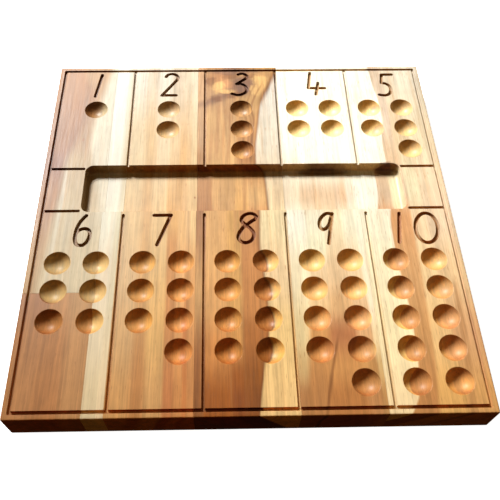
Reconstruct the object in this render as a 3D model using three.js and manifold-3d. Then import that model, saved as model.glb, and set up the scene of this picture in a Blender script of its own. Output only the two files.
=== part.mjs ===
// One-to-ten counting board.
//
// A square hardwood panel is glued up from six staves whose grain runs from front to back. The
// left stave is made of two lengths, joined end to end by a finger joint whose fingers lie flat.
// One routed pattern runs across all of the staves: a border line, lines between the ten cells,
// the numerals 1 to 10, fifty-five round dimples and a tray across the middle.
//
// Units are millimetres. +X is right, +Y is back, +Z is up, and the origin is the centre of the
// underside.

import * as THREE from 'three';
import { mergeVertices } from 'three/addons/utils/BufferGeometryUtils.js';
import Module from 'manifold-3d';

const wasm = await Module();
wasm.setup();

// ---- Driving dimensions ----

const BOARD_SIDE = 300;
const THICKNESS = 25;
const HALF = BOARD_SIDE / 2;
const GLUE_LINE = 0.1;                  // left open between neighbouring staves
const CUT_CLEAR = 1;                    // how far every cutter stands above the top face

const STAVES = [
  { name: 'stave_1', from: -HALF, to: -102.5, colour: 0xb9814d, jointed: true },
  { name: 'stave_2', from: -102.5, to: -89, colour: 0xe9d3a8 },
  { name: 'stave_3', from: -89, to: -35, colour: 0xd9a767 },
  { name: 'stave_4', from: -35, to: 30, colour: 0xb67c46 },
  { name: 'stave_5', from: 30, to: 83, colour: 0xd2a06a },
  { name: 'stave_6', from: 83, to: HALF, colour: 0xd4a263 },
];
const WOOD_ROUGHNESS = 0.5;

const FINGER_JOINT_Y = -64.5;           // where the end joint's seam crosses the top face
const FINGER_LENGTH = 10;
const FINGER_COUNT = 3;
const FINGER_GAP = 0.3;                 // along the fingers, which is about 0.1 across the glue

const LINE_WIDTH = 2;                   // border, cell lines and tray lines
const LINE_DEPTH = 2;
const BORDER_INSET = 4.5;               // board edge to the middle of the border line
const BORDER = HALF - BORDER_INSET;
const CELL_PITCH = 58.2;
const CELLS_PER_ROW = 5;

const TRAY = { width: 237, front: 1.4, back: 44, depth: 8, corner: 6, floorRadius: 3 };
const TRAY_LINE_BACK = 41;              // Y of the short lines beside the tray
const TRAY_LINE_FRONT = 2.2;
const TRAY_LINE_START = 119.9;
const TRAY_LINE_END = BORDER - 1;
const FRONT_LINE_START = -1.9;          // back end of the front cells' lines
const BACK_LINE_END = TRAY.back - 1.5;  // the back cells' lines open into the tray

const DIMPLE = { radius: 9, depth: 6, columnPitch: 26.4, sides: 12, rings: 3 };
const BACK_ROWS = [101.8, 80, 58.5];
const FRONT_ROWS = [-41.3, -63.3, -85.4, -107.4, -129.4];

const NUMERAL_WIDTH = 2.2;
const NUMERAL_DEPTH = 2;
const BACK_BASELINE = 116;
const FRONT_BASELINE = -28;
const CURVE_STEPS = 2;                  // facets between two points of a curved stroke
const CAP_STEPS = 3;                    // facets in a stroke's round end

// Each numeral is a list of strokes in millimetres from its cell's centre line and its baseline.
// A straight stroke has two points, and a longer one is a smooth curve through its points.
const ONE = [[[1.4, 25.2], [-2.2, 0.6]]];
const TWO = [
  [[-3.6, 22.6], [-2, 25], [1.2, 25.9], [4.6, 24.8], [6.3, 22], [5.8, 19.4], [4.2, 16.7]],
  [[4.2, 16.7], [-6.2, 1.3]],
  [[-6.2, 1.2], [5.3, 1.2]],
];
const THREE_STROKES = [
  [[-1.8, 24.8], [1.3, 25.9], [4.4, 24.6], [5.6, 22], [3.6, 19.2]],
  [[3.6, 19.2], [-3.2, 13.8]],
  [[-3.2, 13.8], [1.2, 13.5], [3.9, 11.2], [5.2, 7.6], [4.1, 4.2], [0.8, 1.8], [-3, 1.1], [-7.2, 2.6]],
];
const FOUR = [
  [[0.3, 26.1], [-2.3, 8.5]],
  [[-2.3, 8.4], [11.3, 8.2]],
  [[6.2, 14.2], [3.5, 1.2]],
];
const FIVE = [
  [[10.8, 23.6], [2.2, 23.6]],
  [[2.2, 23.6], [0.8, 13.9]],
  [[0.8, 13.8], [3.6, 13.2], [6.4, 11], [7.6, 7.4], [6.9, 3.2], [4.7, 0.5], [1.4, -0.5], [-2.6, 0.3]],
];
const SIX = [
  [[2.7, 26], [-0.4, 21.8], [-2.5, 16.5], [-3.5, 9.8], [-3.1, 4.4], [-1, 1.2], [2.6, 0.9]],
  [[2.6, 0.9], [5.3, 4], [6.7, 9.2], [5.9, 13.1], [3, 14.8], [-0.6, 13.8], [-3, 11]],
];
const SEVEN = [
  [[-6.9, 25.7], [5.2, 25.7]],
  [[5, 25.6], [-3.9, 0.7]],
];
const EIGHT = [
  [[8.2, 23.8], [5.6, 26.2], [1.6, 26.1], [-1.8, 23.6], [-2.6, 20.2], [-0.2, 17.2], [3.2, 14]],
  [[3.2, 14], [5.6, 10], [5.4, 6], [3.2, 2.8], [-0.4, 1.5], [-3.8, 3], [-5.2, 6.4], [-4.2, 10.4]],
  [[-4.2, 10.4], [-1.4, 14.6], [3, 18.4], [7, 21.4], [8.2, 23.8]],
];
const NINE = [
  [[4.5, 25.3], [0.8, 25.8], [-2.2, 23.8], [-4.4, 20.7], [-5.3, 16.9], [-4.9, 13.6], [-3, 11.8]],
  [[-3, 11.8], [-0.5, 13.2], [1.7, 16.5], [3.1, 20.7], [4.6, 25.3]],
  [[4.7, 25.5], [-0.1, 0.3]],
];
const ZERO = [slantedArc(0, Math.PI), slantedArc(Math.PI, 2 * Math.PI)];
const TEN_ONE_SHIFT = -6.4;             // the two figures of the ten, from the cell's centre line
const TEN_ZERO_SHIFT = 12.7;

// The cells in order: how many dimples the left and right columns hold, and the numeral.
const CELLS = [
  { columns: [1], figures: [[ONE, 0]] },
  { columns: [2], figures: [[TWO, 0]] },
  { columns: [3], figures: [[THREE_STROKES, 0]] },
  { columns: [2, 2], figures: [[FOUR, 0]] },
  { columns: [2, 3], figures: [[FIVE, 0]] },
  { columns: [3, 3], figures: [[SIX, 0]] },
  { columns: [3, 4], figures: [[SEVEN, 0]] },
  { columns: [4, 4], figures: [[EIGHT, 0]] },
  { columns: [4, 5], figures: [[NINE, 0]] },
  { columns: [5, 5], figures: [[ONE, TEN_ONE_SHIFT], [ZERO, TEN_ZERO_SHIFT]] },
];

// ---- Solids ----

// A closed three.js geometry as a manifold solid.
function toSolid(geometry) {
  const plain = geometry.clone();
  plain.deleteAttribute('normal');
  plain.deleteAttribute('uv');
  const merged = mergeVertices(plain, 1e-4);
  const index = merged.index.array;
  const triangles = [];
  for (let i = 0; i < index.length; i += 3) {
    const [a, b, c] = [index[i], index[i + 1], index[i + 2]];
    if (a !== b && b !== c && c !== a) triangles.push(a, b, c);
  }
  return new wasm.Manifold(new wasm.Mesh({
    numProp: 3,
    vertProperties: Float32Array.from(merged.attributes.position.array),
    triVerts: Uint32Array.from(triangles),
  }));
}

function toGeometry(solid) {
  const mesh = solid.getMesh();
  const geometry = new THREE.BufferGeometry();
  geometry.setAttribute('position', new THREE.BufferAttribute(mesh.vertProperties, 3));
  geometry.setIndex(new THREE.BufferAttribute(mesh.triVerts, 1));
  geometry.computeVertexNormals();
  return geometry;
}

function box(x0, x1, y0, y1, z0, z1) {
  const geometry = new THREE.BoxGeometry(x1 - x0, y1 - y0, z1 - z0);
  geometry.translate((x0 + x1) / 2, (y0 + y1) / 2, (z0 + z1) / 2);
  return toSolid(geometry);
}

// A plan outline, cut down from above the top face to the given depth.
function pocket(shape, depth) {
  const options = { depth: depth + CUT_CLEAR, bevelEnabled: false, curveSegments: 3 };
  const geometry = new THREE.ExtrudeGeometry(shape, options);
  geometry.translate(0, 0, THICKNESS - depth);
  return toSolid(geometry);
}

// ---- Routed strokes ----

// Half of the zero: an ellipse leaning to the right, between two angles.
function slantedArc(start, end) {
  const [halfWidth, halfHeight, lean, points] = [8, 12.6, 0.087, 7];
  return Array.from({ length: points }, (_, i) => {
    const angle = start + ((end - start) * i) / (points - 1);
    const rise = halfHeight * Math.sin(angle);
    return [halfWidth * Math.cos(angle) + lean * rise, halfHeight + rise];
  });
}

// The points along a stroke's middle.
function strokeLine(stroke, x, y) {
  const points = stroke.map(([u, v]) => new THREE.Vector2(x + u, y + v));
  if (points.length === 2) return points;
  return new THREE.SplineCurve(points).getPoints(CURVE_STEPS * (points.length - 1));
}

// Points of the half circle that ends a stroke, from its right side round to its left.
function roundEnd(centre, direction, radius) {
  const start = direction.angle() - Math.PI / 2;
  return Array.from({ length: CAP_STEPS + 1 }, (_, i) => {
    const angle = start + (Math.PI * i) / CAP_STEPS;
    return new THREE.Vector2(Math.cos(angle), Math.sin(angle)).multiplyScalar(radius).add(centre);
  });
}

// The outline that a round cutter leaves along a line of points.
function strokeShape(line, width) {
  const radius = width / 2;
  const last = line.length - 1;
  const direction = (i) => line[Math.min(i + 1, last)].clone().sub(line[Math.max(i - 1, 0)]).normalize();
  const side = (i, sign) => {
    const along = direction(i);
    return new THREE.Vector2(along.y, -along.x).multiplyScalar(sign * radius).add(line[i]);
  };
  const middle = Array.from({ length: last - 1 }, (_, i) => i + 1);
  return new THREE.Shape([
    ...middle.map((i) => side(i, 1)),
    ...roundEnd(line[last], direction(last), radius),
    ...middle.reverse().map((i) => side(i, -1)),
    ...roundEnd(line[0], direction(0).negate(), radius),
  ]);
}

function routedLine(x0, y0, x1, y1) {
  const line = [new THREE.Vector2(x0, y0), new THREE.Vector2(x1, y1)];
  return pocket(strokeShape(line, LINE_WIDTH), LINE_DEPTH);
}

// ---- The pattern ----

function borderLines() {
  return [
    routedLine(-BORDER, -BORDER, BORDER, -BORDER),
    routedLine(BORDER, -BORDER, BORDER, BORDER),
    routedLine(BORDER, BORDER, -BORDER, BORDER),
    routedLine(-BORDER, BORDER, -BORDER, -BORDER),
  ];
}

function cellLines() {
  const lines = [];
  for (let i = 1; i < CELLS_PER_ROW; i += 1) {
    const x = (i - CELLS_PER_ROW / 2) * CELL_PITCH;
    lines.push(routedLine(x, BORDER, x, BACK_LINE_END));
    lines.push(routedLine(x, FRONT_LINE_START, x, -BORDER));
  }
  return lines;
}

function trayLines() {
  const lines = [];
  for (const y of [TRAY_LINE_BACK, TRAY_LINE_FRONT]) {
    lines.push(routedLine(-TRAY_LINE_END, y, -TRAY_LINE_START, y));
    lines.push(routedLine(TRAY_LINE_START, y, TRAY_LINE_END, y));
  }
  return lines;
}

// The tray: round corners in plan, and a round edge where its walls meet its floor.
function tray() {
  const [x, y0, y1, r] = [TRAY.width / 2, TRAY.front, TRAY.back, TRAY.corner];
  const shape = new THREE.Shape();
  shape.absarc(x - r, y0 + r, r, -Math.PI / 2, 0);
  shape.absarc(x - r, y1 - r, r, 0, Math.PI / 2);
  shape.absarc(-x + r, y1 - r, r, Math.PI / 2, Math.PI);
  shape.absarc(-x + r, y0 + r, r, Math.PI, 1.5 * Math.PI);
  const geometry = new THREE.ExtrudeGeometry(shape, {
    depth: TRAY.depth,
    bevelThickness: TRAY.floorRadius,
    bevelSize: TRAY.floorRadius,
    bevelOffset: -TRAY.floorRadius,
    bevelSegments: 2,
    curveSegments: 4,
  });
  geometry.translate(0, 0, THICKNESS - TRAY.depth + TRAY.floorRadius);
  return toSolid(geometry);
}

// One dimple is part of a sphere, with its rim on the top face.
function dimple(x, y) {
  const { radius, depth, sides, rings } = DIMPLE;
  const sphere = (radius ** 2 + depth ** 2) / (2 * depth);
  const rimAngle = Math.asin(radius / sphere);
  const profile = Array.from({ length: rings + 1 }, (_, i) => {
    const angle = (rimAngle * i) / rings;
    return new THREE.Vector2(sphere * Math.sin(angle), sphere * (1 - Math.cos(angle)) - depth);
  });
  profile.push(new THREE.Vector2(radius, CUT_CLEAR), new THREE.Vector2(0, CUT_CLEAR));
  const geometry = new THREE.LatheGeometry(profile, sides);
  geometry.rotateX(Math.PI / 2);
  geometry.translate(x, y, THICKNESS);
  return toSolid(geometry);
}

// A cell's dimples and its numeral.
function cellCuts(cell, number) {
  const back = number < CELLS_PER_ROW;
  const x = ((number % CELLS_PER_ROW) - (CELLS_PER_ROW - 1) / 2) * CELL_PITCH;
  const rows = back ? BACK_ROWS : FRONT_ROWS;
  const cuts = cell.columns.flatMap((count, column) => {
    const across = (column - (cell.columns.length - 1) / 2) * DIMPLE.columnPitch;
    return rows.slice(0, count).map((y) => dimple(x + across, y));
  });
  for (const [strokes, shift] of cell.figures) {
    for (const stroke of strokes) {
      const line = strokeLine(stroke, x + shift, back ? BACK_BASELINE : FRONT_BASELINE);
      cuts.push(pocket(strokeShape(line, NUMERAL_WIDTH), NUMERAL_DEPTH));
    }
  }
  return cuts;
}

// ---- The staves ----

// Where the fingers run, from the top face to the underside, as [Y, Z].
function fingerLine(shift) {
  return Array.from({ length: 2 * FINGER_COUNT + 1 }, (_, i) => {
    const reach = i % 2 === 1 ? FINGER_LENGTH : 0;
    return [FINGER_JOINT_Y - reach + shift, THICKNESS * (1 - i / (2 * FINGER_COUNT))];
  });
}

// A length of stave between two X values, with the given outline in the YZ plane.
function fingeredLength(x0, x1, outline) {
  const shape = new THREE.Shape(outline.map(([y, z]) => new THREE.Vector2(y, z)));
  const geometry = new THREE.ExtrudeGeometry(shape, { depth: x1 - x0, bevelEnabled: false });
  const turn = new THREE.Matrix4().makeBasis(
    new THREE.Vector3(0, 1, 0),
    new THREE.Vector3(0, 0, 1),
    new THREE.Vector3(1, 0, 0),
  );
  geometry.applyMatrix4(turn);
  geometry.translate(x0, 0, 0);
  return toSolid(geometry);
}

// The uncut solids of one stave, by name.
function staveBlanks({ name, from, to, jointed }) {
  const x0 = from === -HALF ? from : from + GLUE_LINE / 2;
  const x1 = to === HALF ? to : to - GLUE_LINE / 2;
  if (!jointed) return [[name, box(x0, x1, -HALF, HALF, 0, THICKNESS)]];
  const rear = [...fingerLine(FINGER_GAP / 2), [HALF, 0], [HALF, THICKNESS]];
  const front = [...fingerLine(-FINGER_GAP / 2), [-HALF, 0], [-HALF, THICKNESS]];
  return [
    [`${name}_rear_length`, fingeredLength(x0, x1, rear)],
    [`${name}_front_length`, fingeredLength(x0, x1, front)],
  ];
}

// ---- The board ----

const cuts = [
  tray(),
  ...borderLines(),
  ...cellLines(),
  ...trayLines(),
  ...CELLS.flatMap(cellCuts),
];

const board = new THREE.Group();
for (const stave of STAVES) {
  const wood = new THREE.MeshStandardMaterial({
    color: stave.colour,
    roughness: WOOD_ROUGHNESS,
    metalness: 0,
  });
  for (const [name, blank] of staveBlanks(stave)) {
    const solid = cuts.reduce((rest, cut) => rest.subtract(cut), blank);
    const mesh = new THREE.Mesh(toGeometry(solid), wood);
    mesh.name = name;
    board.add(mesh);
  }
}

export default board;
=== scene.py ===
"""Looks of the one-to-ten counting board.

The board is one routed panel, glued up from staves. The script models the whole panel once, with
rounded edges and the routed pattern cut by smooth cutters, and then divides it at the glue lines.
Each stave gets a wood of its own, with its figure placed where the real board has it.
"""

import math

import bmesh
import bpy
from mathutils import Matrix, Vector


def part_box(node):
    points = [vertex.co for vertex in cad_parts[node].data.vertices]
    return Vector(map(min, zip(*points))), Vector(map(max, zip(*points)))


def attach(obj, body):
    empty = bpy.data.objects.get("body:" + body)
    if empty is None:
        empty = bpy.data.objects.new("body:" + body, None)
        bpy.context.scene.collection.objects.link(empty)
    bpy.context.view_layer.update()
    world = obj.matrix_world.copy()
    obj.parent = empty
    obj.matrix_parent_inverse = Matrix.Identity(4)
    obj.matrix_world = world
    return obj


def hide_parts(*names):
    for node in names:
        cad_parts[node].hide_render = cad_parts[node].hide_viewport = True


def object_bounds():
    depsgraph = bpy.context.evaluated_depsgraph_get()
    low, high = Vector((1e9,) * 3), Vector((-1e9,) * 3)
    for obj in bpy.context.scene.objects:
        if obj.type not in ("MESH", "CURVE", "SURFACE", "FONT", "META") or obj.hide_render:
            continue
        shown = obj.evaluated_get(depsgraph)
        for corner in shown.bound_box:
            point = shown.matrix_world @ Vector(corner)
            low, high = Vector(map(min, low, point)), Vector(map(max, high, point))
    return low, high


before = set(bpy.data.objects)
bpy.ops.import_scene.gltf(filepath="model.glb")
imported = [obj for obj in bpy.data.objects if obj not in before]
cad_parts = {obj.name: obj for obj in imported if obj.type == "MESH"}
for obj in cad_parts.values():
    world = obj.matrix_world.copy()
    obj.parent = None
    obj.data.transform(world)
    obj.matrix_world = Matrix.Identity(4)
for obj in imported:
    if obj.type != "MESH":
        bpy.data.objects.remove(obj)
CAD_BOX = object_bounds()

MM = 0.001

# ---- Sizes, in millimetres. The board's own come from the frame. ----

THICKNESS = CAD_BOX[1].z / MM
HALF = CAD_BOX[1].x / MM
EDGE_RADIUS = 1.0

FINGER_JOINT_Y = -64.5
FINGER_LENGTH = 10
FINGER_COUNT = 3
FINGER_GAP = 0.3
CLEARANCE = 5               # how far a dividing prism stands clear of the board's own faces

BORDER = HALF - 4.5         # where the routed line round the board runs
CELL_PITCH = 58.2
CELLS_PER_ROW = 5
TRAY_HALF_WIDTH = 118.5
TRAY_FRONT = 1.4
TRAY_BACK = 44
TRAY_DEPTH = 8
TRAY_CORNER = 6
TRAY_FLOOR_RADIUS = 3
TRAY_LINES_Y = (2.2, 41)
TRAY_LINE_START = 119.9
TRAY_LINE_END = BORDER - 1
FRONT_LINE_START = -1.9
BACK_LINE_END = TRAY_BACK - 1.5

DIMPLE_RADIUS = 9
DIMPLE_DEPTH = 6
COLUMN_PITCH = 26.4
BACK_ROWS = (101.8, 80, 58.5)
FRONT_ROWS = (-41.3, -63.3, -85.4, -107.4, -129.4)

LINE_RADIUS = 1.0
NUMERAL_RADIUS = 1.2
STROKE_DEPTH = 2.0
STROKE_FLOOR_RADIUS = 0.5
SECTION_START = 0.2         # keeps a groove's cutter open along its middle line
LINE_GROOVE_SHADE = 0.4           # share of the full painted groove shade on a line's floor
# A numeral's share of the painted groove shade.
NUMERAL_GROOVE_SHADE = 1.0
MARKS = ("groove_shade", "bowl")  # face attributes that a cutter leaves in the wood: the share of painted groove shade, and which faces are bowls
MOUTH_RADIUS = 0.3          # how far the edge of a groove or the tray is eased
RIM_RADIUS = MOUTH_RADIUS * 1.6
RIM_OUT = MOUTH_RADIUS * 0.9
MOUTH_END = 102             # degrees; at 90 an eased edge would be level with the top face
CUT_RISE = 1.0              # how far a cutter stands above the top face
SHARP_ANGLE = 14            # degrees; an edge sharper than this stays crisp
FLOOR_DROP = 0.2            # keeps the floor from flickering against the underside
BACK_BASELINE = 116
FRONT_BASELINE = -28

# Numerals: strokes in millimetres from the cell's centre line and the baseline. Two points are a
# straight stroke, more are a smooth curve.
ONE = [[(1.4, 25.2), (-2.2, 0.6)]]
TWO = [
    [(-3.6, 22.6), (-2, 25), (1.2, 25.9), (4.6, 24.8), (6.3, 22), (5.8, 19.4), (4.2, 16.7)],
    [(4.2, 16.7), (-6.2, 1.3)],
    [(-6.2, 1.2), (5.3, 1.2)],
]
THREE = [
    [(-1.8, 24.8), (1.3, 25.9), (4.4, 24.6), (5.6, 22), (3.6, 19.2)],
    [(3.6, 19.2), (-3.2, 13.8)],
    [(-3.2, 13.8), (1.2, 13.5), (3.9, 11.2), (5.2, 7.6), (4.1, 4.2), (0.8, 1.8), (-3, 1.1), (-7.2, 2.6)],
]
FOUR = [
    [(0.3, 26.1), (-2.3, 8.5)],
    [(-2.3, 8.4), (11.3, 8.2)],
    [(6.2, 14.2), (3.5, 1.2)],
]
FIVE = [
    [(10.8, 23.6), (2.2, 23.6)],
    [(2.2, 23.6), (0.8, 13.9)],
    [(0.8, 13.8), (3.6, 13.2), (6.4, 11), (7.6, 7.4), (6.9, 3.2), (4.7, 0.5), (1.4, -0.5), (-2.6, 0.3)],
]
SIX = [
    [(2.7, 26), (-0.4, 21.8), (-2.5, 16.5), (-3.5, 9.8), (-3.1, 4.4), (-1, 1.2), (2.6, 0.9)],
    [(2.6, 0.9), (5.3, 4), (6.7, 9.2), (5.9, 13.1), (3, 14.8), (-0.6, 13.8), (-3, 11)],
]
SEVEN = [
    [(-6.9, 25.7), (5.2, 25.7)],
    [(5, 25.6), (-3.9, 0.7)],
]
EIGHT = [
    [(8.2, 23.8), (5.6, 26.2), (1.6, 26.1), (-1.8, 23.6), (-2.6, 20.2), (-0.2, 17.2), (3.2, 14)],
    [(3.2, 14), (5.6, 10), (5.4, 6), (3.2, 2.8), (-0.4, 1.5), (-3.8, 3), (-5.2, 6.4), (-4.2, 10.4)],
    [(-4.2, 10.4), (-1.4, 14.6), (3, 18.4), (7, 21.4), (8.2, 23.8)],
]
NINE = [
    [(4.5, 25.3), (0.8, 25.8), (-2.2, 23.8), (-4.4, 20.7), (-5.3, 16.9), (-4.9, 13.6), (-3, 11.8)],
    [(-3, 11.8), (-0.5, 13.2), (1.7, 16.5), (3.1, 20.7), (4.6, 25.3)],
    [(4.7, 25.5), (-0.1, 0.3)],
]


def slanted_arc(start, end, half_width=8, half_height=12.6, lean=0.087, points=9):
    """Half of the zero: an ellipse that leans to the right, between two angles."""
    arc = []
    for i in range(points):
        angle = start + (end - start) * i / (points - 1)
        rise = half_height * math.sin(angle)
        arc.append((half_width * math.cos(angle) + lean * rise, half_height + rise))
    return arc


ZERO = [slanted_arc(0, math.pi), slanted_arc(math.pi, 2 * math.pi)]

# The cells in order: dimples in each column, and (numeral, shift from the cell's centre line).
CELLS = [
    ((1,), [(ONE, 0)]),
    ((2,), [(TWO, 0)]),
    ((3,), [(THREE, 0)]),
    ((2, 2), [(FOUR, 0)]),
    ((2, 3), [(FIVE, 0)]),
    ((3, 3), [(SIX, 0)]),
    ((3, 4), [(SEVEN, 0)]),
    ((4, 4), [(EIGHT, 0)]),
    ((4, 5), [(NINE, 0)]),
    ((5, 5), [(ONE, -6.4), (ZERO, 12.7)]),
]


# ---- Mesh helpers ----

def new_object(name, mesh):
    made = bpy.data.objects.new(name, mesh)
    bpy.context.scene.collection.objects.link(made)
    return made


def add_loft(bm, loops):
    """Skins a stack of closed loops, lowest first, and closes both ends. Each loop runs anticlockwise."""
    rings = [[bm.verts.new(point * MM) for point in loop] for loop in loops]
    count = len(rings[0])
    for low, high in zip(rings, rings[1:]):
        for i in range(count):
            j = (i + 1) % count
            bm.faces.new((low[i], low[j], high[j], high[i]))
    bm.faces.new(rings[0][::-1])
    bm.faces.new(rings[-1])


def smooth_line(points, steps=6):
    """A uniform Catmull-Rom curve through the points, with its end points doubled."""
    points = [Vector(p) for p in points]
    if len(points) == 2:
        return points
    padded = [points[0], *points, points[-1]]
    line = []
    for a, b, c, d in zip(padded, padded[1:], padded[2:], padded[3:]):
        for k in range(steps):
            t = k / steps
            line.append(
                0.5 * (2 * b + (c - a) * t + (2 * a - 5 * b + 4 * c - d) * t**2
                       + (3 * b - 3 * c + d - a) * t**3)
            )
    return line + [points[-1]]


def round_stations(line, cap_steps=12):
    """(centre, outward direction) all round a stroke, anticlockwise, with half circles at its ends."""
    def heading(i):
        return (line[min(i + 1, len(line) - 1)] - line[max(i - 1, 0)]).normalized()

    def cap(i, along):
        start = math.atan2(along.y, along.x) - math.pi / 2
        turns = [start + math.pi * k / cap_steps for k in range(cap_steps + 1)]
        return [(line[i], Vector((math.cos(t), math.sin(t)))) for t in turns]

    last = len(line) - 1
    middle = range(1, last)
    right = [(line[i], Vector((heading(i).y, -heading(i).x))) for i in middle]
    left = [(line[i], Vector((-heading(i).y, heading(i).x))) for i in reversed(middle)]
    return right + cap(last, heading(last)) + left + cap(0, -heading(0))


def circle_stations(x, y, steps=56):
    turns = [2 * math.pi * k / steps for k in range(steps)]
    return [(Vector((x, y)), Vector((math.cos(t), math.sin(t)))) for t in turns]


def rounded_box_stations(x0, x1, y0, y1, radius, steps=14):
    """(corner centre, outward direction) round a box with round corners."""
    corners = [(x1, y0, -90), (x1, y1, 0), (x0, y1, 90), (x0, y0, 180)]
    stations = []
    for x, y, start in corners:
        centre = Vector((
            x - math.copysign(radius, x - (x0 + x1) / 2),
            y - math.copysign(radius, y - (y0 + y1) / 2),
        ))
        for k in range(steps + 1):
            angle = math.radians(start + 90 * k / steps)
            stations.append((centre, Vector((math.cos(angle), math.sin(angle)))))
    return stations


def add_cut(bm, stations, section):
    """A cutter whose section, as (distance out, height above the top face), runs round the stations."""
    loops = []
    for out, height in section:
        loops.append([(c + d * out).to_3d() + Vector((0, 0, THICKNESS + height)) for c, d in stations])
    add_loft(bm, loops)


# ---- Cutter sections: (distance out from the middle, height above the top face) ----

def arc(centre, radius, start, end, steps):
    """Points of an arc in a section, with angles in degrees."""
    angles = [math.radians(start + (end - start) * k / steps) for k in range(steps + 1)]
    return [(centre[0] + radius * math.cos(a), centre[1] + radius * math.sin(a)) for a in angles]


def eased_mouth(radius):
    """The eased edge where a wall at this radius meets the top face, and the rise above it."""
    mouth = arc((radius + MOUTH_RADIUS, -MOUTH_RADIUS), MOUTH_RADIUS, 180, MOUTH_END, 4)
    return mouth + [(mouth[-1][0], CUT_RISE)]


def stroke_section(radius):
    """A flat floor, a rounded foot and an upright wall."""
    centre = (radius - STROKE_FLOOR_RADIUS, STROKE_FLOOR_RADIUS - STROKE_DEPTH)
    foot = arc(centre, STROKE_FLOOR_RADIUS, -90, 0, 4)
    return [(SECTION_START, -STROKE_DEPTH)] + foot + eased_mouth(radius)


def dimple_section():
    """Part of a sphere, from just beside its lowest point to just short of the eased rim."""
    sphere = (DIMPLE_RADIUS**2 + DIMPLE_DEPTH**2) / (2 * DIMPLE_DEPTH)
    rim = math.degrees(math.asin(DIMPLE_RADIUS / sphere))
    bowl = arc((0, sphere - DIMPLE_DEPTH), sphere, -89, rim - 93, 16)
    mouth = arc((DIMPLE_RADIUS + RIM_OUT, -RIM_RADIUS), RIM_RADIUS, 155, MOUTH_END, 4)
    return bowl + mouth + [(mouth[-1][0], CUT_RISE)]


def tray_section():
    """Distances are from the corner centres, so the wall stands at the corner radius."""
    centre = (TRAY_CORNER - TRAY_FLOOR_RADIUS, TRAY_FLOOR_RADIUS - TRAY_DEPTH)
    return arc(centre, TRAY_FLOOR_RADIUS, -90, 0, 10) + eased_mouth(TRAY_CORNER)


# ---- Cutters: the parts of one cutter never touch each other ----

def cutter(name, parts, groove_shade=0.0, bowl=0.0):
    """A cutter's marks are face attributes, which pass to the faces that the cut leaves in the wood. The
    first is the share of painted shade on a groove; the second marks the bowls.
    """
    bm = bmesh.new()
    for stations, section in parts:
        add_cut(bm, stations, section)
    mesh = bpy.data.meshes.new(name)
    bm.to_mesh(mesh)
    bm.free()
    for mark, amount in zip(MARKS, (groove_shade, bowl)):
        values = mesh.attributes.new(mark, "FLOAT", "FACE").data
        values.foreach_set("value", [amount] * len(mesh.polygons))
    return new_object(name, mesh)


def line_part(x0, y0, x1, y1):
    return round_stations([Vector((x0, y0)), Vector((x1, y1))]), stroke_section(LINE_RADIUS)


def lines_across():
    parts = [line_part(-BORDER, y, BORDER, y) for y in (-BORDER, BORDER)]
    for y in TRAY_LINES_Y:
        parts.append(line_part(-TRAY_LINE_END, y, -TRAY_LINE_START, y))
        parts.append(line_part(TRAY_LINE_START, y, TRAY_LINE_END, y))
    return cutter("cut_lines_across", parts, LINE_GROOVE_SHADE)


def lines_along():
    parts = [line_part(x, -BORDER, x, BORDER) for x in (-BORDER, BORDER)]
    for i in range(1, CELLS_PER_ROW):
        x = (i - CELLS_PER_ROW / 2) * CELL_PITCH
        parts.append(line_part(x, BACK_LINE_END, x, BORDER))
        parts.append(line_part(x, -BORDER, x, FRONT_LINE_START))
    return cutter("cut_lines_along", parts, LINE_GROOVE_SHADE)


def tray_cutter():
    stations = rounded_box_stations(
        -TRAY_HALF_WIDTH, TRAY_HALF_WIDTH, TRAY_FRONT, TRAY_BACK, TRAY_CORNER
    )
    return cutter("cut_tray", [(stations, tray_section())])


def cell_centre(number):
    return (number % CELLS_PER_ROW - (CELLS_PER_ROW - 1) / 2) * CELL_PITCH


def dimple_centres():
    centres = []
    for number, (columns, _) in enumerate(CELLS):
        rows = BACK_ROWS if number < CELLS_PER_ROW else FRONT_ROWS
        for column, count in enumerate(columns):
            x = cell_centre(number) + (column - (len(columns) - 1) / 2) * COLUMN_PITCH
            centres += [(x, y) for y in rows[:count]]
    return centres


def dimple_cutter():
    section = dimple_section()
    parts = [(circle_stations(x, y), section) for x, y in dimple_centres()]
    return cutter("cut_dimples", parts, bowl=1.0)


def numeral_cutters():
    """One cutter for the first stroke of every figure, one for the second and one for the third."""
    section = stroke_section(NUMERAL_RADIUS)
    layers = {}
    for number, (_, figures) in enumerate(CELLS):
        baseline = BACK_BASELINE if number < CELLS_PER_ROW else FRONT_BASELINE
        for strokes, shift in figures:
            for layer, stroke in enumerate(strokes):
                start = Vector((cell_centre(number) + shift, baseline))
                line = smooth_line([start + Vector(point) for point in stroke])
                layers.setdefault(layer, []).append((round_stations(line), section))
    return [
        cutter(f"cut_numerals_{layer}", parts, NUMERAL_GROOVE_SHADE) for layer, parts in sorted(layers.items())
    ]


# ---- The board ----

def rounded_blank():
    """The uncut panel with all of its edges eased and its marks at zero."""
    bm = bmesh.new()
    bmesh.ops.create_cube(bm, size=1)
    bmesh.ops.scale(bm, vec=Vector((2 * HALF, 2 * HALF, THICKNESS)) * MM, verts=bm.verts)
    bmesh.ops.translate(bm, vec=Vector((0, 0, THICKNESS / 2)) * MM, verts=bm.verts)
    bmesh.ops.bevel(
        bm, geom=bm.edges[:], offset=EDGE_RADIUS * MM, segments=5, profile=0.5, affect="EDGES"
    )
    mesh = bpy.data.meshes.new("board")
    bm.to_mesh(mesh)
    bm.free()
    for mark in MARKS:
        mesh.attributes.new(mark, "FLOAT", "FACE")
    return new_object("board", mesh)


def apply_boolean(target, other, operation):
    """Gives the target a new mesh: what the operation with the other object leaves of it."""
    modifier = target.modifiers.new("boolean", "BOOLEAN")
    modifier.operation = operation
    modifier.solver = "MANIFOLD"
    modifier.material_mode = "INDEX"
    modifier.object = other
    depsgraph = bpy.context.evaluated_depsgraph_get()
    mesh = bpy.data.meshes.new_from_object(target.evaluated_get(depsgraph))
    target.modifiers.clear()
    target.data = mesh


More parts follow.
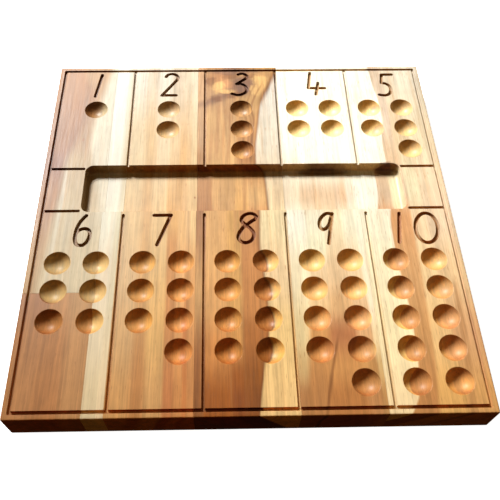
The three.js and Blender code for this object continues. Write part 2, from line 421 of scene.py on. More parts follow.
def prism(name, x0, x1, outline):
    """A slab between two X values, with an outline of (y, z) points that runs anticlockwise."""
    bm = bmesh.new()
    low = [bm.verts.new(Vector((x0, y, z)) * MM) for y, z in outline]
    high = [bm.verts.new(Vector((x1, y, z)) * MM) for y, z in outline]
    count = len(outline)
    for i in range(count):
        j = (i + 1) % count
        bm.faces.new((low[i], low[j], high[j], high[i]))
    bm.faces.new(low[::-1])
    bm.faces.new(high)
    bmesh.ops.recalc_face_normals(bm, faces=bm.faces)
    mesh = bpy.data.meshes.new(name)
    bm.to_mesh(mesh)
    bm.free()
    return new_object(name, mesh)


def finger_line(shift):
    """Where the fingers of the end joint run, from the top face to the underside, as (y, z)."""
    line = []
    for i in range(2 * FINGER_COUNT + 1):
        reach = FINGER_LENGTH if i % 2 else 0
        line.append((FINGER_JOINT_Y - reach + shift, THICKNESS * (1 - i / (2 * FINGER_COUNT))))
    return line


def stave_outline(node):
    """The outline of a stave's dividing prism, which stands clear of the board's own faces."""
    far, over, under = HALF + CLEARANCE, THICKNESS + CLEARANCE, -CLEARANCE
    if not node.startswith("stave_1_"):
        return [(-far, under), (far, under), (far, over), (-far, over)]
    rear = node == "stave_1_rear_length"
    line = finger_line(FINGER_GAP / 2 if rear else -FINGER_GAP / 2)
    end = far if rear else -far
    return [(line[0][0], over), *line, (line[-1][0], under), (end, under), (end, over)]


def divide(board, node):
    """The part of the routed board that is this stave."""
    low, high = (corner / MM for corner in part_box(node))
    x0 = low.x - CLEARANCE if low.x < CLEARANCE - HALF else low.x
    x1 = high.x + CLEARANCE if high.x > HALF - CLEARANCE else high.x
    stave = new_object(node.replace("stave", "wood"), board.data.copy())
    knife = prism("knife", x0, x1, stave_outline(node))
    apply_boolean(stave, knife, "INTERSECT")
    bpy.data.objects.remove(knife)
    return stave


def shade(piece):
    """Smooth shading on the rounded surfaces, and crisp flat faces."""
    mesh = piece.data
    mesh.shade_smooth()
    mesh.set_sharp_from_angle(angle=math.radians(SHARP_ANGLE))


# ---- Stage ----

def floor():
    """A pale floor that glows evenly and throws no light back on the board."""
    bpy.ops.mesh.primitive_plane_add(size=6, location=(0, 0, -FLOOR_DROP * MM))
    plane = bpy.context.object
    plane.name = "floor"
    material = bpy.data.materials.new("floor")
    material.use_nodes = True
    shader = material.node_tree.nodes["Principled BSDF"]
    shader.inputs["Base Color"].default_value = (0.92, 0.92, 0.92, 1)
    shader.inputs["Roughness"].default_value = 0.9
    shader.inputs["Emission Color"].default_value = (1, 1, 1, 1)
    shader.inputs["Emission Strength"].default_value = 1.0
    plane.data.materials.append(material)
    plane.visible_diffuse = False
    plane.visible_glossy = False


def lights():
    """A soft lamp behind and to the left, whose beam fades toward the front, in a dim room."""
    data = bpy.data.lights.new("lamp", "SPOT")
    data.energy = 300
    data.color = (0.95, 0.95, 0.92)
    data.shadow_soft_size = 0.22
    data.spot_size = math.radians(46)
    data.spot_blend = 1.0
    lamp = bpy.data.objects.new("lamp", data)
    place = Vector((-0.62, 0.99, 1.04))
    aim = Vector((0.09, 0.30, 0.02))
    lamp.location = place
    lamp.rotation_euler = (aim - place).to_track_quat("-Z", "Y").to_euler()
    bpy.context.scene.collection.objects.link(lamp)
    bpy.context.scene.world = dim_room()


def dim_room():
    """A warm fill from above, with less of it below the horizon. The camera sees plain white."""
    world = bpy.data.worlds.new("room")
    world.use_nodes = True
    tree = world.node_tree
    direction = tree.nodes.new("ShaderNodeTexCoord").outputs["Generated"]
    split = tree.nodes.new("ShaderNodeSeparateXYZ")
    height = tree.nodes.new("ShaderNodeMapRange")
    levels = {"From Min": -0.1, "From Max": 0.5, "To Min": 0.02, "To Max": 0.14}
    for key, level in levels.items():
        height.inputs[key].default_value = level
    background = tree.nodes["Background"]
    background.inputs["Color"].default_value = (1.0, 0.62, 0.26, 1)
    tree.links.new(direction, split.inputs[0])
    tree.links.new(split.outputs["Z"], height.inputs["Value"])
    tree.links.new(height.outputs["Result"], background.inputs["Strength"])
    backdrop = tree.nodes.new("ShaderNodeBackground")
    backdrop.inputs["Color"].default_value = (1, 1, 1, 1)
    choice = tree.nodes.new("ShaderNodeMixShader")
    seen = tree.nodes.new("ShaderNodeLightPath").outputs["Is Camera Ray"]
    tree.links.new(seen, choice.inputs["Fac"])
    tree.links.new(background.outputs[0], choice.inputs[1])
    tree.links.new(backdrop.outputs[0], choice.inputs[2])
    tree.links.new(choice.outputs[0], tree.nodes["World Output"].inputs["Surface"])
    return world


def camera():
    """The photograph's viewpoint, fitted to the corners of the board."""
    data = bpy.data.cameras.new("camera")
    data.sensor_width = 36
    data.lens = 46.83
    data.shift_x = 0.0321
    data.shift_y = -0.0135
    made = bpy.data.objects.new("camera", data)
    place = Vector((-16.39, -271.52, 408.10)) * MM
    aim = Vector((-8.38, -26.84, 25.0)) * MM
    level = (aim - place).to_track_quat("-Z", "Y")
    roll = Matrix.Rotation(math.radians(0.94), 4, "Z").to_quaternion()
    made.location = place
    made.rotation_euler = (level @ roll).to_euler()
    bpy.context.scene.collection.objects.link(made)
    bpy.context.scene.camera = made


# ---- Wood ----
#
# Every colour is a linear albedo. A stave's wood is a row of bands that run along Y. Each band after
# the first starts at an edge, given as (y, x) points in millimetres, and carries a colour that may
# change along Y. Thin veins, knots and curly figure lie on top.

SAP_WHITE = (0.72, 0.68, 0.56)
IVORY = (0.56, 0.52, 0.42)
BROWN = (0.30, 0.13, 0.05)
PLUM = (0.17, 0.09, 0.06)
UMBER = (0.16, 0.06, 0.02)
GOLD = (0.54, 0.34, 0.14)
RUST = (0.32, 0.16, 0.07)

VEIN_FADE = 8               # how far either side of its limits a vein fades out, in millimetres

# The layers of the grain: size of the features in millimetres, detail, and share of the brightness.
GRAIN_LAYERS = (
    ((7, 120, 7), 1.0, 0.09),
    ((2.4, 75, 2.4), 2.0, 0.11),
    ((0.9, 28, 0.9), 2.0, 0.11),
    ((6, 9, 6), 2.0, 0.05),
)


class Wood:
    """Builds one stave's node tree. Sockets are passed from step to step."""

    def __init__(self, name, seed):
        self.material = bpy.data.materials.new(name)
        self.material.use_nodes = True
        self.tree = self.material.node_tree
        self.shader = self.tree.nodes["Principled BSDF"]
        self.seed = seed
        place = self.node("ShaderNodeTexCoord").outputs["Object"]
        scaled = self.node("ShaderNodeVectorMath", operation="SCALE")
        self.tree.links.new(place, scaled.inputs[0])
        scaled.inputs["Scale"].default_value = 1 / MM
        self.place = scaled.outputs[0]
        split = self.node("ShaderNodeSeparateXYZ")
        self.tree.links.new(self.place, split.inputs[0])
        self.x, self.y, self.z = split.outputs

    def node(self, kind, **settings):
        made = self.tree.nodes.new(kind)
        for key, value in settings.items():
            setattr(made, key, value)
        return made

    def put(self, value, socket):
        """Links a socket, or sets a plain value."""
        if isinstance(value, bpy.types.NodeSocket):
            self.tree.links.new(value, socket)
        else:
            socket.default_value = value

    def math(self, operation, a, b=0.0):
        made = self.node("ShaderNodeMath", operation=operation)
        self.put(a, made.inputs[0])
        self.put(b, made.inputs[1])
        return made.outputs[0]

    def step(self, value, low, high):
        """Rises smoothly from 0 to 1 while the value goes from low to high."""
        made = self.node("ShaderNodeMapRange", interpolation_type="SMOOTHSTEP")
        for key, entry in (("Value", value), ("From Min", low), ("From Max", high)):
            self.put(entry, made.inputs[key])
        return made.outputs[0]

    def mix(self, factor, a, b, blend="MIX"):
        made = self.node("ShaderNodeMix", data_type="RGBA", blend_type=blend)
        made.clamp_factor = True
        sockets = [s for s in made.inputs if s.enabled]
        self.put(factor, sockets[0])
        self.put(a if isinstance(a, bpy.types.NodeSocket) else (*a, 1), sockets[1])
        self.put(b if isinstance(b, bpy.types.NodeSocket) else (*b, 1), sockets[2])
        return next(s for s in made.outputs if s.enabled)

    def noise(self, size, detail, offset):
        """Noise round 0, mostly from -1 to 1, whose features have this (x, y, z) size in millimetres."""
        mapping = self.node("ShaderNodeMapping")
        self.put(self.place, mapping.inputs["Vector"])
        mapping.inputs["Scale"].default_value = [1 / s for s in size]
        shift = self.seed * 37.0 + offset * 11.0
        mapping.inputs["Location"].default_value = (shift, shift * 0.7, shift * 0.3)
        texture = self.node("ShaderNodeTexNoise")
        texture.inputs["Scale"].default_value = 1.0
        texture.inputs["Detail"].default_value = detail
        self.put(mapping.outputs[0], texture.inputs["Vector"])
        centred = self.math("SUBTRACT", texture.outputs["Fac"], 0.5)
        return self.math("MULTIPLY", centred, 4.0)

    def along(self, stops):
        """A colour that changes along Y, from (y, colour) stops."""
        ramp = self.node("ShaderNodeValToRGB")
        fraction = self.math("ADD", self.math("MULTIPLY", self.y, 0.5 / HALF), 0.5)
        self.put(fraction, ramp.inputs["Fac"])
        ramp.color_ramp.interpolation = "EASE"
        elements = ramp.color_ramp.elements
        while len(elements) < len(stops):
            elements.new(0.5)
        for element, (y, colour) in zip(elements, sorted(stops)):
            element.position = 0.5 + 0.5 * y / HALF
            element.color = (*colour, 1)
        return ramp.outputs["Color"]

    def line_x(self, points):
        """The X position of a line along the board, from (y, x) points."""
        curve = self.node("ShaderNodeFloatCurve")
        fraction = self.math("ADD", self.math("MULTIPLY", self.y, 0.5 / HALF), 0.5)
        self.put(fraction, curve.inputs["Value"])
        track = curve.mapping.curves[0].points
        spots = [(0.5 + 0.5 * y / HALF, 0.5 + 0.5 * x / HALF) for y, x in sorted(points)]
        track[0].location, track[1].location = spots[0], spots[-1]
        for spot in spots[1:-1]:
            track.new(*spot)
        curve.mapping.update()
        return self.math("MULTIPLY", self.math("SUBTRACT", curve.outputs[0], 0.5), 2 * HALF)

    def warped_x(self, tilt, wander):
        """X with the slow wander of grain lines, and their tilt through the thickness."""
        depth = self.math("SUBTRACT", THICKNESS, self.z)
        leaning = self.math("ADD", self.x, self.math("MULTIPLY", depth, tilt))
        slow = self.math("MULTIPLY", self.noise((14, 90, 14), 1.0, 1), wander)
        fine = self.math("MULTIPLY", self.noise((3, 30, 3), 2.0, 2), wander * 0.35)
        return self.math("ADD", leaning, self.math("ADD", slow, fine))

    def bands(self, across, rows):
        """Lays the bands of a stave side by side, each starting at its edge, sharp or soft."""
        colour = self.along(rows[0]["colours"])
        for row in rows[1:]:
            past = self.math("SUBTRACT", across, self.line_x(row["edge"]))
            mask = self.step(past, -row["soft"] / 2, row["soft"] / 2)
            colour = self.mix(mask, colour, self.along(row["colours"]))
        return colour

    def vein(self, colour, across, line, width, tint, strength, limits):
        """A line of another colour through the wood, which fades out at its limits."""
        off = self.math("ABSOLUTE", self.math("SUBTRACT", across, self.line_x(line)))
        mask = self.math("SUBTRACT", 1.0, self.step(off, 0, width))
        started, ended = (self.step(self.y, end - VEIN_FADE, end + VEIN_FADE) for end in limits)
        inside = self.math("MULTIPLY", started, self.math("SUBTRACT", 1.0, ended))
        mask = self.math("MULTIPLY", self.math("MULTIPLY", mask, inside), strength)
        return self.mix(mask, colour, tint)

    def blot(self, colour, centre, size, tint, strength=0.8, ragged=0.25):
        """A patch of another colour: a knot, a stain or a flame of figure."""
        dx = self.math("DIVIDE", self.math("SUBTRACT", self.x, centre[0]), size[0])
        dy = self.math("DIVIDE", self.math("SUBTRACT", self.y, centre[1]), size[1])
        square = self.math("ADD", self.math("MULTIPLY", dx, dx), self.math("MULTIPLY", dy, dy))
        radius = self.math("SQRT", square)
        rough = self.math("MULTIPLY", self.noise((size[0] * 0.8, size[1] * 0.8, 9), 2.0, 5), ragged)
        mask = self.math("SUBTRACT", 1.0, self.step(self.math("ADD", radius, rough), 0.45, 1.15))
        return self.mix(self.math("MULTIPLY", mask, strength), colour, tint)

    def blots(self, colour, rows):
        """Several blots, each laid over the one before."""
        for row in rows:
            colour = self.blot(colour, *row)
        return colour

    def gamma(self, colour, power):
        made = self.node("ShaderNodeGamma")
        self.put(colour, made.inputs["Color"])
        made.inputs["Gamma"].default_value = power
        return made.outputs[0]

    def scaled_by(self, colour, factor):
        """The colour times a grey factor."""
        grey = self.node("ShaderNodeCombineColor")
        for socket in grey.inputs[:3]:
            self.put(factor, socket)
        return self.mix(1.0, colour, grey.outputs[0], "MULTIPLY")

    def grain(self, colour, strength=1.0):
        """Fibre streaks, growth bands, mottling and pores."""
        level = 1.0
        for number, (size, detail, weight) in enumerate(GRAIN_LAYERS):
            part = self.math("MULTIPLY", self.noise(size, detail, 20 + number), weight * strength)
            level = self.math("ADD", level, part)
        colour = self.scaled_by(colour, level)
        warmth = self.step(self.noise((3.5, 90, 3.5), 2.0, 30), 0.1, 1.4)
        colour = self.mix(self.math("MULTIPLY", warmth, 0.28 * strength), colour, (0.52, 0.27, 0.10))
        pores = self.step(self.noise((0.4, 6, 0.4), 0.0, 31), 0.8, 1.3)
        return self.mix(self.math("MULTIPLY", pores, 0.4 * strength), colour, BROWN)

    def normal_part(self, axis):
        """The "X", "Y" or "Z" part of the surface's normal."""
        split = self.node("ShaderNodeSeparateXYZ")
        self.put(self.node("ShaderNodeNewGeometry").outputs["Normal"], split.inputs[0])
        return split.outputs[axis]

    def mark(self, name):
        """A mark that a cutter left on its faces."""
        return self.node("ShaderNodeAttribute", attribute_name=name).outputs["Fac"]

    def end_grain(self, colour):
        """Wood cut across its fibres soaks up oil, and is darker and redder. The bowls soak up less."""
        cut = self.step(self.math("ABSOLUTE", self.normal_part("Y")), 0.2, 0.9)
        sanded = self.math("SUBTRACT", 1.0, self.math("MULTIPLY", self.mark("bowl"), 0.35))
        deep = self.mix(1.0, self.gamma(colour, 1.6), (0.88, 0.64, 0.36), "MULTIPLY")
        return self.mix(self.math("MULTIPLY", cut, sanded), colour, deep)

    def painted_bowl_shade(self, colour):
        """Painted shade: a golden tint in the bowls that stands in for the warm shade inside them. The
        paler the wood, the more golden it turns.
        """
        parts = self.node("ShaderNodeSeparateColor")
        self.put(colour, parts.inputs[0])
        pale = self.step(parts.outputs["Green"], 0.12, 0.62)
        bowl_shade_tint = self.mix(1.0, colour, (1.0, 0.80, 0.46), "MULTIPLY")
        return self.mix(self.math("MULTIPLY", self.mark("bowl"), pale), colour, bowl_shade_tint)

    def painted_groove_shade(self, colour):
        """Painted shade in the narrow grooves, darker on their floors than on their walls."""
        floor_part = self.math("MULTIPLY", self.step(self.normal_part("Z"), 0.2, 0.8), 0.75)
        share = self.math("MULTIPLY", self.mark("groove_shade"), self.math("ADD", floor_part, 0.25))
        return self.mix(share, colour, self.mix(1.0, colour, (0.42, 0.26, 0.14), "MULTIPLY"))

    def rich(self, colour):
        """Deepens the colour, as oil does."""
        return self.scaled_by(self.gamma(colour, 1.12), 1.06)

    def finish(self, colour):
        """Joins the colour to the shader, with an uneven gloss and a fine bump along the fibres."""
        # Painted shade goes in here: a golden tint in the bowls, and a darker tone in the grooves that is
        # strongest on their floors.
        colour = self.painted_groove_shade(self.end_grain(self.painted_bowl_shade(self.rich(colour))))
        self.put(colour, self.shader.inputs["Base Color"])
        uneven = self.math("MULTIPLY", self.noise((1.2, 30, 1.2), 2.0, 10), 0.05)
        self.put(self.math("ADD", uneven, 0.42), self.shader.inputs["Roughness"])
        self.shader.inputs["Specular IOR Level"].default_value = 0.25
        bump = self.node("ShaderNodeBump")
        bump.inputs["Strength"].default_value = 0.25
        bump.inputs["Distance"].default_value = 0.05 * MM
        self.put(self.noise((0.4, 9, 0.4), 1.0, 11), bump.inputs["Height"])
        self.put(bump.outputs[0], self.shader.inputs["Normal"])
        return self.material


def wood_1_rear():
    wood = Wood("wood_1_rear_length", 1)
    across = wood.warped_x(0.0, 0.8)
    colour = wood.bands(across, [
        {"colours": [(137, (0.27, 0.13, 0.05)), (69, (0.24, 0.10, 0.03)), (46, (0.20, 0.07, 0.02)),
                     (15, (0.31, 0.15, 0.06)), (-55, (0.46, 0.29, 0.14))]},
        {"edge": [(150, -131), (137, -127), (112, -118), (90, -123), (69, -128), (48, -134), (20, -135),
                  (-8, -138), (-60, -141)], "soft": 8,
         "colours": [(137, (0.32, 0.19, 0.09)), (69, (0.30, 0.18, 0.09)), (45, (0.34, 0.24, 0.13)),
                     (-20, (0.47, 0.38, 0.24)), (-55, (0.56, 0.46, 0.30))]},
        {"edge": [(150, -106), (112, -112), (69, -117), (48, -114), (20, -109), (-65, -106)], "soft": 8,
         "colours": [(137, (0.44, 0.41, 0.33)), (69, (0.47, 0.42, 0.32)), (20, (0.50, 0.44, 0.33)),
                     (-55, (0.54, 0.43, 0.26))]},
    ])
    streak = [(150, -130), (100, -125), (70, -129), (45, -135), (0, -139)]
    colour = wood.vein(colour, across, streak, 2.0, (0.25, 0.14, 0.07), 0.5, (30, 120))
    colour = wood.vein(colour, across, [(50, -132), (-60, -136)], 2.5, IVORY, 0.6, (-50, 40))
    colour = wood.blot(colour, (-123.4, 70), (1.1, 2.0), BROWN)
    return wood.finish(wood.grain(colour))


def wood_1_front():
    wood = Wood("wood_1_front_length", 2)
    across = wood.warped_x(0.1, 1.0)
    colour = wood.bands(across, [
        {"colours": [(-70, (0.40, 0.19, 0.08)), (-100, (0.50, 0.24, 0.09)), (-140, (0.57, 0.28, 0.11))]},
        {"edge": [(-60, -130), (-150, -133)], "soft": 8,
         "colours": [(-70, (0.47, 0.24, 0.09)), (-100, (0.49, 0.23, 0.08)), (-140, (0.54, 0.25, 0.09))]},
        {"edge": [(-60, -118), (-150, -116)], "soft": 8,
         "colours": [(-70, (0.48, 0.27, 0.11)), (-100, (0.53, 0.28, 0.11)), (-140, (0.57, 0.30, 0.12))]},
    ])
    return wood.finish(wood.grain(colour, 1.2))


def wood_2():
    wood = Wood("wood_2", 3)
    across = wood.warped_x(0.0, 0.5)
    colour = wood.bands(across, [
        {"colours": [(137, (0.55, 0.53, 0.47)), (45, (0.54, 0.50, 0.42)), (-8, (0.58, 0.54, 0.43)),
                     (-52, (0.66, 0.56, 0.41)), (-97, (0.74, 0.62, 0.43)), (-138, (0.80, 0.65, 0.41))]},
        {"edge": [(150, -92), (-150, -93)], "soft": 4,
         "colours": [(137, (0.47, 0.42, 0.32)), (45, (0.48, 0.40, 0.27)), (-8, (0.55, 0.49, 0.34)),
                     (-52, (0.62, 0.54, 0.37)), (-138, (0.84, 0.66, 0.42))]},
    ])
    return wood.finish(wood.grain(colour, 0.7))


def wood_3():
    wood = Wood("wood_3", 4)
    across = wood.warped_x(0.3, 0.8)
    colour = wood.bands(across, [
        {"colours": [(137, (0.47, 0.42, 0.35)), (69, (0.48, 0.37, 0.22)), (-8, (0.53, 0.37, 0.19)),
                     (-52, (0.59, 0.40, 0.21)), (-97, (0.62, 0.38, 0.17)), (-138, (0.64, 0.35, 0.13))]},
        {"edge": [(150, -75), (-150, -74)], "soft": 6,
         "colours": [(137, (0.45, 0.37, 0.28)), (69, (0.47, 0.32, 0.16)), (-8, (0.50, 0.31, 0.14)),
                     (-52, (0.54, 0.32, 0.13)), (-138, (0.57, 0.27, 0.09))]},
        {"edge": [(150, -67), (-150, -66)], "soft": 5,
         "colours": [(137, (0.47, 0.42, 0.35)), (69, (0.51, 0.40, 0.26)), (-8, (0.58, 0.40, 0.20)),
                     (-97, (0.66, 0.40, 0.15)), (-138, (0.67, 0.38, 0.15))]},
        {"edge": [(150, -56), (-150, -54.5)], "soft": 2.5,
         "colours": [(137, (0.44, 0.36, 0.27)), (69, (0.50, 0.36, 0.21)), (-8, (0.50, 0.29, 0.11)),
                     (-30, (0.46, 0.23, 0.08)), (-97, (0.50, 0.23, 0.08)), (-138, (0.56, 0.23, 0.08))]},
        {"edge": [(150, -48), (-150, -48)], "soft": 3,
         "colours": [(137, (0.46, 0.38, 0.28)), (48, (0.50, 0.31, 0.14)), (-8, (0.55, 0.34, 0.15)),
                     (-52, (0.64, 0.37, 0.16)), (-138, (0.65, 0.30, 0.10))]},
        {"edge": [(150, -43), (-150, -42.5)], "soft": 2,
         "colours": [(137, (0.49, 0.42, 0.31)), (48, (0.53, 0.35, 0.18)), (-8, (0.56, 0.36, 0.18)),
                     (-52, (0.52, 0.27, 0.10)), (-97, (0.51, 0.21, 0.07)), (-138, (0.58, 0.23, 0.07))]},
        {"edge": [(150, -39.5), (-150, -39.5)], "soft": 2,
         "colours": [(137, (0.50, 0.44, 0.33)), (48, (0.53, 0.39, 0.22)), (20, (0.52, 0.36, 0.19)),
                     (-8, (0.58, 0.40, 0.20)), (-52, (0.58, 0.31, 0.12)), (-138, (0.64, 0.29, 0.10))]},
    ])
    colour = wood.blot(colour, (-36.6, 19), (0.8, 1.3), BROWN)
    return wood.finish(wood.grain(colour, 1.1))


# The heartwood's edge in the figured stave, as (y, x).
HEART_EDGE = [
    (150, 31), (139, 28), (129, 24), (113, 17.7), (102, 15.2), (91, 13.6), (76, 12), (62, 10.3), (45, 9.5),
    (20, 10.5), (-2, 11), (-31, 9.5), (-52, 11), (-72, 12), (-97, 12), (-117, 9), (-150, 5),
]

# Patches in the figured stave, as centre, size, colour, strength and raggedness. The second list lies
# over the dark vein that crosses the first.
LOWER_FIGURE = (
    ((-18, 138), (13, 8), RUST, 0.8, 0.2),
    ((-10, 129), (7, 5), (0.44, 0.22, 0.10), 0.7, 0.5),
    ((-19, 126), (5, 7), GOLD, 0.6, 0.4),
    ((16, 130), (8, 11), GOLD, 0.85, 0.2),
    ((-10, 92), (4, 13), RUST, 0.5, 0.5),
    ((6, 58), (4, 16), RUST, 0.45, 0.4),
)
UPPER_FIGURE = (
    ((2, 129), (12, 14), PLUM, 0.9, 0.2),
    ((-25, 133), (5, 6), UMBER, 0.55, 0.45),
    ((-8, 139), (8, 4), UMBER, 0.55, 0.45),
    ((9, 139), (6, 4), UMBER, 0.55, 0.45),
    ((-4, 117), (9, 4), UMBER, 0.55, 0.45),
    ((-20, 113), (7, 4), UMBER, 0.55, 0.45),
    ((-17, 128), (5, 6), GOLD, 0.75, 0.35),
    ((-12, 121), (8, 2.5), GOLD, 0.75, 0.35),
    ((16, 134), (6, 7), GOLD, 0.75, 0.35),
    ((12, 122), (5, 7), GOLD, 0.75, 0.35),
    ((-4, 145), (24, 5), PLUM, 0.8, 0.2),
)
CROSSING_VEIN = [(150, 30), (130, 4), (120, -8), (106, -32)]


def figured_bands(wood, across):
    return wood.bands(across, [
        {"colours": [(137, (0.40, 0.25, 0.14)), (69, (0.40, 0.25, 0.14)), (48, (0.37, 0.20, 0.09)),
                     (-8, (0.32, 0.16, 0.07)), (-65, (0.50, 0.29, 0.12)), (-119, (0.35, 0.14, 0.04))]},
        {"edge": [(150, -29.5), (-150, -29)], "soft": 1.5,
         "colours": [(137, (0.35, 0.20, 0.09)), (112, (0.34, 0.20, 0.10)), (90, (0.42, 0.26, 0.12)),
                     (20, (0.45, 0.27, 0.12)), (-30, (0.53, 0.31, 0.13)), (-74, (0.57, 0.31, 0.12)),
                     (-108, (0.55, 0.24, 0.07)), (-138, (0.36, 0.12, 0.02))]},
        {"edge": [(150, -13), (-150, -12)], "soft": 6,
         "colours": [(137, (0.34, 0.19, 0.09)), (112, (0.36, 0.21, 0.10)), (90, (0.41, 0.25, 0.12)),
                     (48, (0.50, 0.30, 0.13)), (-8, (0.48, 0.28, 0.10)), (-74, (0.57, 0.32, 0.11)),
                     (-98, (0.55, 0.28, 0.09)), (-125, (0.33, 0.11, 0.02)), (-140, (0.28, 0.09, 0.02))]},
        {"edge": [(150, -4), (-150, -3)], "soft": 3,
         "colours": [(137, (0.36, 0.21, 0.09)), (112, (0.38, 0.23, 0.10)), (69, (0.42, 0.23, 0.10)),
                     (48, (0.39, 0.20, 0.08)), (20, (0.50, 0.31, 0.14)), (-5, (0.41, 0.20, 0.08)),
                     (-74, (0.46, 0.21, 0.07)), (-98, (0.38, 0.15, 0.04)), (-125, (0.28, 0.10, 0.02)),
                     (-140, (0.26, 0.09, 0.02))]},
        {"edge": HEART_EDGE, "soft": 1.2,
         "colours": [(137, (0.50, 0.47, 0.42)), (69, (0.53, 0.47, 0.38)), (20, (0.52, 0.40, 0.26)),
                     (-8, (0.61, 0.50, 0.31)), (-52, (0.67, 0.50, 0.30)), (-97, (0.68, 0.48, 0.22)),
                     (-138, (0.76, 0.52, 0.24))]},
    ])


def heartwood_streaks(wood, colour, across):
    """Rust-brown streaks along the heartwood, each at an X and between two Y limits."""
    for x, near, far in ((-24, 42, 78), (-19.5, 52, 104), (-15, 60, 92), (-11, 46, 76), (-6, -30, 46)):
        streak = [(150, x + 3), (far, x + 1), (near, x - 1), (-150, x - 2)]
        colour = wood.vein(colour, across, streak, 2.2, RUST, 0.5, (near, far))
    return colour


def heart_rings(wood, colour, across):
    """The dark edge of the heartwood, and the growth rings inside it, wider apart at the knot."""
    colour = wood.vein(colour, across, HEART_EDGE, 3.6, UMBER, 0.75, (108, 150))
    colour = wood.vein(colour, across, HEART_EDGE, 1.8, UMBER, 0.55, (-150, 104))
    for offset, strength in ((5, 0.5), (9, 0.35), (14, 0.3)):
        ring = [(y, x - offset * (1.3 if y > 100 else 0.7)) for y, x in HEART_EDGE]
        colour = wood.vein(colour, across, ring, 1.6, UMBER, strength, (45, 128))
    return colour


def wood_4():
    """The figured stave: dark heartwood on the left, pale sapwood past its curved edge."""
    wood = Wood("wood_4", 5)
    across = wood.warped_x(-0.75, 1.0)
    colour = heartwood_streaks(wood, figured_bands(wood, across), across)
    colour = wood.blots(colour, LOWER_FIGURE)
    colour = wood.vein(colour, wood.x, CROSSING_VEIN, 14, PLUM, 0.75, (104, 128))
    colour = wood.blots(colour, UPPER_FIGURE)
    colour = heart_rings(wood, colour, across)
    return wood.finish(wood.grain(colour, 1.3))


def wood_5():
    wood = Wood("wood_5", 6)
    across = wood.warped_x(0.2, 0.9)
    colour = wood.bands(across, [
        {"colours": [(60, SAP_WHITE), (20, (0.60, 0.50, 0.37)), (-8, (0.66, 0.62, 0.52)),
                     (-52, (0.71, 0.61, 0.42)), (-97, (0.71, 0.56, 0.31)), (-119, (0.63, 0.43, 0.20)),
                     (-138, (0.47, 0.23, 0.09))]},
        {"edge": [(150, 40), (-40, 42), (-110, 38), (-150, 34)], "soft": 5,
         "colours": [(50, SAP_WHITE), (20, (0.54, 0.40, 0.27)), (-8, (0.65, 0.60, 0.46)),
                     (-30, (0.68, 0.63, 0.45)), (-52, (0.67, 0.50, 0.31)), (-74, (0.70, 0.49, 0.27)),
                     (-97, (0.58, 0.30, 0.11)), (-138, (0.46, 0.22, 0.08))]},
        {"edge": [(150, 54), (-40, 55), (-110, 50), (-150, 46)], "soft": 6,
         "colours": [(50, SAP_WHITE), (20, (0.58, 0.43, 0.29)), (-8, (0.64, 0.54, 0.37)),
                     (-52, (0.63, 0.45, 0.27)), (-76, (0.61, 0.38, 0.19)), (-97, (0.44, 0.19, 0.08)),
                     (-119, (0.56, 0.28, 0.10)), (-138, (0.47, 0.21, 0.07))]},
        {"edge": [(150, 71), (-100, 70), (-150, 72)], "soft": 5,
         "colours": [(50, SAP_WHITE), (20, (0.57, 0.42, 0.29)), (-8, (0.64, 0.60, 0.46)),
                     (-52, (0.72, 0.55, 0.35)), (-97, (0.64, 0.38, 0.19)), (-119, (0.51, 0.27, 0.10)),
                     (-138, (0.50, 0.25, 0.10))]},
        {"edge": [(150, 78), (-150, 79.5)], "soft": 2.5,
         "colours": [(50, SAP_WHITE), (20, (0.64, 0.56, 0.45)), (-8, (0.66, 0.62, 0.49)),
                     (-74, (0.76, 0.63, 0.46)), (-100, (0.75, 0.58, 0.34)), (-119, (0.63, 0.42, 0.19)),
                     (-138, (0.56, 0.31, 0.12))]},
    ])
    line = [(-90, 59), (-115, 52.5), (-150, 45)]
    colour = wood.vein(colour, across, line, 1.8, UMBER, 0.6, (-160, -100))
    colour = wood.blot(colour, (60, 41.5), (24, 3.6), PLUM, 0.85, 0.05)
    return wood.finish(wood.grain(colour))


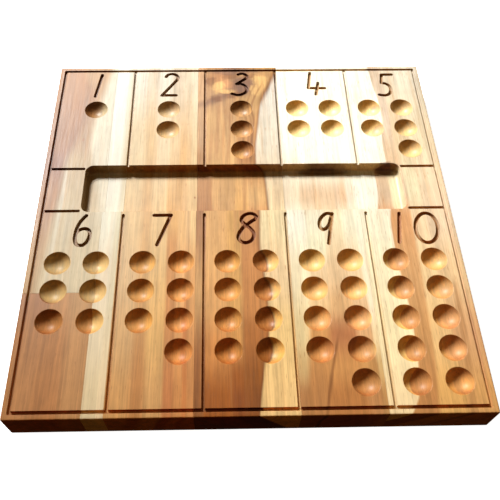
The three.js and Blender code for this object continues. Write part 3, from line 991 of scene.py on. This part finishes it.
def wood_6():
    wood = Wood("wood_6", 7)
    across = wood.warped_x(1.1, 0.9)
    colour = wood.bands(across, [
        {"colours": [(50, SAP_WHITE), (20, (0.64, 0.61, 0.52)), (-8, (0.67, 0.61, 0.47)),
                     (-52, (0.73, 0.64, 0.44)), (-97, (0.79, 0.66, 0.41)), (-138, (0.79, 0.62, 0.37))]},
        {"edge": [(150, 107), (137, 108), (90, 112), (69, 109), (48, 109), (20, 109.5), (-8, 105),
                  (-119, 105.5), (-137, 103), (-150, 97)], "soft": 1.5,
         "colours": [(137, (0.46, 0.37, 0.28)), (90, (0.55, 0.44, 0.34)), (48, (0.56, 0.41, 0.27)),
                     (20, (0.48, 0.36, 0.25)), (-8, (0.53, 0.29, 0.14)), (-52, (0.55, 0.32, 0.15)),
                     (-97, (0.53, 0.29, 0.12)), (-138, (0.49, 0.24, 0.09))]},
        {"edge": [(150, 118), (-80, 118), (-150, 114)], "soft": 3,
         "colours": [(137, (0.53, 0.45, 0.34)), (69, (0.55, 0.43, 0.28)), (20, (0.61, 0.53, 0.36)),
                     (-8, (0.65, 0.49, 0.32)), (-52, (0.69, 0.50, 0.28)), (-97, (0.69, 0.46, 0.22)),
                     (-138, (0.67, 0.39, 0.14))]},
        {"edge": [(150, 128), (-150, 132)], "soft": 4,
         "colours": [(137, (0.54, 0.48, 0.38)), (69, (0.59, 0.49, 0.34)), (-8, (0.64, 0.49, 0.34)),
                     (-52, (0.66, 0.47, 0.27)), (-97, (0.62, 0.36, 0.18)), (-138, (0.61, 0.34, 0.13))]},
    ])
    dark = (0.40, 0.20, 0.08)
    colour = wood.vein(colour, across, [(0, 139), (-80, 139), (-150, 134)], 3.5, dark, 0.55, (-160, -60))
    colour = wood.vein(colour, across, [(150, 114), (-150, 112)], 1.5, dark, 0.4, (-120, 20))
    colour = wood.blot(colour, (109, 41.5), (9, 4), PLUM, 0.85, 0.2)
    return wood.finish(wood.grain(colour, 1.1))


WOODS = {
    "stave_1_rear_length": wood_1_rear,
    "stave_1_front_length": wood_1_front,
    "stave_2": wood_2,
    "stave_3": wood_3,
    "stave_4": wood_4,
    "stave_5": wood_5,
    "stave_6": wood_6,
}


# ---- Put together ----

def build():
    board = rounded_blank()
    cutters = [tray_cutter(), dimple_cutter(), lines_across(), lines_along(), *numeral_cutters()]
    for tool in cutters:
        apply_boolean(board, tool, "DIFFERENCE")
        bpy.data.objects.remove(tool)
    for node in sorted(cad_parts):
        stave = divide(board, node)
        shade(stave)
        stave.data.materials.clear()
        stave.data.materials.append(WOODS[node]())
        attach(stave, "root")
        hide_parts(node)
    bpy.data.objects.remove(board)


camera()
lights()
floor()
build()

bpy.context.scene.view_settings.view_transform = "Standard"
